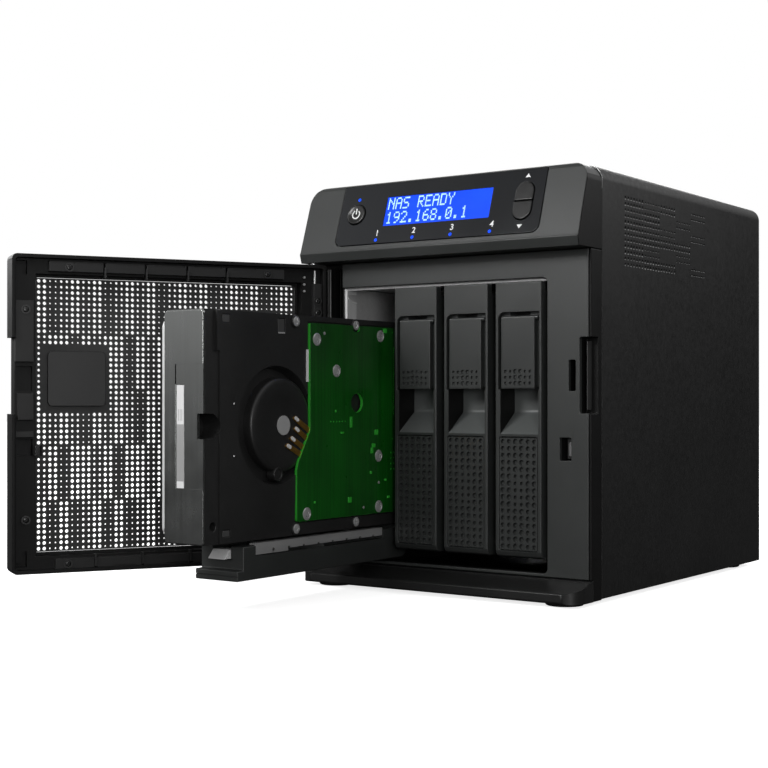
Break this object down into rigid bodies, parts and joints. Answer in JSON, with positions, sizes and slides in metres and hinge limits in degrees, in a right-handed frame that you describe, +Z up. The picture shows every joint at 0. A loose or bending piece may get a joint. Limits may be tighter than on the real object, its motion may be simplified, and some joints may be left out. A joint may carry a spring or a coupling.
{
  "type": "network attached storage",
  "caption": "Desktop network storage box with a swing-open perforated front door, a display panel and fold-down bay doors in front of sliding disk drives.",
  "frame": {"origin": "middle of the base pan's flat underside, 2 mm above the surface that the rubber feet stand on", "axes": "+X to the right seen from the front, +Y towards the rear panel, +Z up"},
  "size_m": [0.2382, 0.353, 0.2039],
  "materials": {
    "powder_coat": "fine textured matte powder coat",
    "door_sheet": "satin painted perforated sheet",
    "satin_grey": "satin painted, very dark grey",
    "black_plastic": "fine moulded texture",
    "lens": "glossy smoked window",
    "display": "backlit blue character display",
    "circuit_board": "green solder mask",
    "bright_steel": "bright zinc plated",
    "bare_aluminium": "satin",
    "black_casting": "black e-coated casting",
    "rubber": "moulded"
  },
  "bodies": {
    "chassis": {"steel_cover": "powder_coat", "base_pan": "powder_coat", "rear_panel": "powder_coat", "front_plate": "satin_grey", "control_bezel": "satin_grey", "front_frame": "black_plastic", "door_sill": "black_plastic", "fan_housing": "black_plastic", "sata_connector_1": "black_plastic", "sata_connector_2": "black_plastic", "sata_connector_3": "black_plastic", "sata_connector_4": "black_plastic", "control_lens": "lens", "lcd_module": "display", "control_board": "circuit_board", "backplane_board": "circuit_board", "main_board": "circuit_board", "front_hinge_pin": "bright_steel", "bay_hinge_rod": "bright_steel", "cage_left_wall": "bright_steel", "cage_right_wall": "bright_steel", "cage_roof": "bright_steel", "cage_floor": "bright_steel", "bay_divider_1": "bright_steel", "bay_divider_2": "bright_steel", "bay_divider_3": "bright_steel", "ethernet_jacks": "bright_steel", "usb_jacks": "bright_steel", "power_inlets": "bright_steel", "heatsink": "bare_aluminium", "foot_front_left": "rubber", "foot_front_right": "rubber", "foot_rear_left": "rubber", "foot_rear_right": "rubber"},
    "front_door": {"door_frame": "black_plastic", "door_mesh": "door_sheet", "door_badge": "black_plastic", "door_hook": "black_plastic"},
    "fan": {"fan_rotor": "black_plastic"},
    "power_key": {"power_button": "black_plastic"},
    "up_key": {"up_button": "black_plastic"},
    "down_key": {"down_button": "black_plastic"},
    "drive_1_unit": {"drive_1_casting": "black_casting", "drive_1_lid": "bare_aluminium", "drive_1_board": "circuit_board"},
    "bay_1_door": {"bay_door_1": "satin_grey", "bay_rail_1": "bright_steel"},
    "bay_1_latch": {"bay_latch_1": "satin_grey"},
    "bay_2_door": {"bay_door_2": "satin_grey", "bay_rail_2": "bright_steel"},
    "bay_2_latch": {"bay_latch_2": "satin_grey"},
    "drive_2_unit": {"drive_2": "bare_aluminium"},
    "bay_3_door": {"bay_door_3": "satin_grey", "bay_rail_3": "bright_steel"},
    "bay_3_latch": {"bay_latch_3": "satin_grey"},
    "drive_3_unit": {"drive_3": "bare_aluminium"},
    "bay_4_door": {"bay_door_4": "satin_grey", "bay_rail_4": "bright_steel"},
    "bay_4_latch": {"bay_latch_4": "satin_grey"},
    "drive_4_unit": {"drive_4": "bare_aluminium"}
  },
  "joints": [
    {"name": "front_door_hinge", "type": "hinge", "parent": "chassis", "child": "front_door", "pos_m": [-0.075, -0.1055, 0.0861], "axis": [0, 0, 1], "range_deg": [-28, 30]},
    {"name": "fan_spin", "type": "hinge", "parent": "chassis", "child": "fan", "pos_m": [-0.004, 0.095, 0.108], "axis": [0, 1, 0], "continuous": true},
    {"name": "power_press", "type": "slide", "parent": "chassis", "child": "power_key", "axis": [0, 0.9505, -0.3107], "range_m": [0, 0.001], "stiffness_N_per_m": 400, "springref_m": -0.001},
    {"name": "up_press", "type": "slide", "parent": "chassis", "child": "up_key", "axis": [0, 0.9505, -0.3107], "range_m": [0, 0.001], "stiffness_N_per_m": 400, "springref_m": -0.001},
    {"name": "down_press", "type": "slide", "parent": "chassis", "child": "down_key", "axis": [0, 0.9505, -0.3107], "range_m": [0, 0.001], "stiffness_N_per_m": 400, "springref_m": -0.001},
    {"name": "bay_1_door_hinge", "type": "hinge", "parent": "chassis", "child": "bay_1_door", "pos_m": [-0.04533, -0.0883, 0.0238], "axis": [1, 0, 0], "range_deg": [-0.5, 6]},
    {"name": "bay_1_latch_pivot", "type": "hinge", "parent": "bay_1_door", "child": "bay_1_latch", "pos_m": [-0.04533, -0.1945, 0.0191], "axis": [1, 0, 0], "range_deg": [-8, 0], "stiffness_Nm_per_rad": 0.08, "springref_deg": 20.05},
    {"name": "drive_1_slide", "type": "slide", "parent": "chassis", "child": "drive_1_unit", "axis": [0, 1, 0], "range_m": [0, 0.153]},
    {"name": "bay_2_door_hinge", "type": "hinge", "parent": "chassis", "child": "bay_2_door", "pos_m": [-0.0161, -0.0883, 0.0238], "axis": [1, 0, 0], "range_deg": [0, 90]},
    {"name": "bay_2_latch_pivot", "type": "hinge", "parent": "bay_2_door", "child": "bay_2_latch", "pos_m": [-0.0161, -0.093, 0.13], "axis": [1, 0, 0], "range_deg": [-11, 0], "stiffness_Nm_per_rad": 0.08, "springref_deg": 20.05},
    {"name": "drive_2_slide", "type": "slide", "parent": "chassis", "child": "drive_2_unit", "axis": [0, -1, 0], "range_m": [0, 0.018]},
    {"name": "bay_3_door_hinge", "type": "hinge", "parent": "chassis", "child": "bay_3_door", "pos_m": [0.01313, -0.0883, 0.0238], "axis": [1, 0, 0], "range_deg": [0, 90]},
    {"name": "bay_3_latch_pivot", "type": "hinge", "parent": "bay_3_door", "child": "bay_3_latch", "pos_m": [0.01313, -0.093, 0.13], "axis": [1, 0, 0], "range_deg": [-11, 0], "stiffness_Nm_per_rad": 0.08, "springref_deg": 20.05},
    {"name": "drive_3_slide", "type": "slide", "parent": "chassis", "child": "drive_3_unit", "axis": [0, -1, 0], "range_m": [0, 0.018]},
    {"name": "bay_4_door_hinge", "type": "hinge", "parent": "chassis", "child": "bay_4_door", "pos_m": [0.04236, -0.0883, 0.0238], "axis": [1, 0, 0], "range_deg": [0, 90]},
    {"name": "bay_4_latch_pivot", "type": "hinge", "parent": "bay_4_door", "child": "bay_4_latch", "pos_m": [0.04236, -0.093, 0.13], "axis": [1, 0, 0], "range_deg": [-11, 0], "stiffness_Nm_per_rad": 0.08, "springref_deg": 20.05},
    {"name": "drive_4_slide", "type": "slide", "parent": "chassis", "child": "drive_4_unit", "axis": [0, -1, 0], "range_m": [0, 0.018]}
  ],
  "couplings": [
    {"joint": "drive_2_slide", "follows": "bay_2_door_hinge", "m_per_rad": 0.01145},
    {"joint": "drive_3_slide", "follows": "bay_3_door_hinge", "m_per_rad": 0.01145},
    {"joint": "drive_4_slide", "follows": "bay_4_door_hinge", "m_per_rad": 0.01145}
  ]
}
